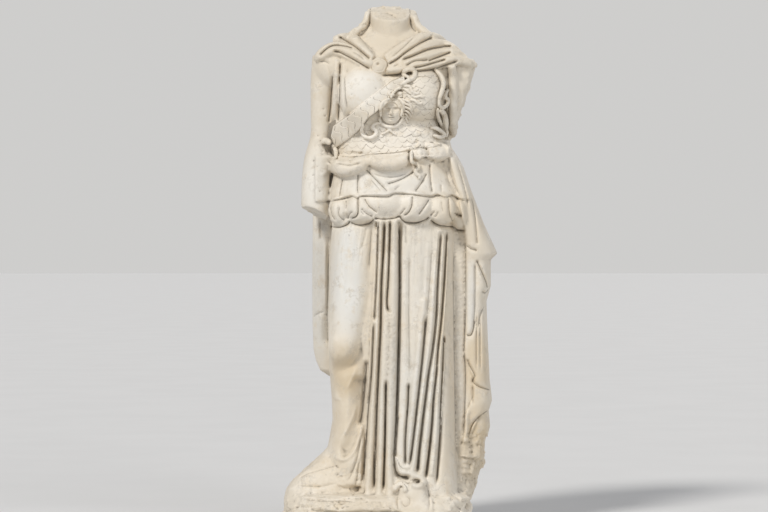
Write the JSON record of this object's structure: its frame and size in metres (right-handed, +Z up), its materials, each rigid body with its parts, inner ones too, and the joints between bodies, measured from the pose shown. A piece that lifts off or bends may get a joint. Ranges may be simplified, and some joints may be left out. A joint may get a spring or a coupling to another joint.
{
  "type": "headless marble statue",
  "caption": "Headless standing marble figure of Athena in pleated dress, mantle and snake-edged scaled breastplate, on a rough plinth.",
  "frame": {"origin": "on the plinth's flat underside, below the middle of the figure's neck", "axes": "+Z up, the statue faces -Y, its own right side towards -X"},
  "size_m": [0.6912, 0.4629, 1.6968],
  "materials": {
    "marble": "weathered warm white marble, matt, with ochre patina"
  },
  "bodies": {
    "root": {"athena_statue": "marble"}
  },
  "joints": []
}
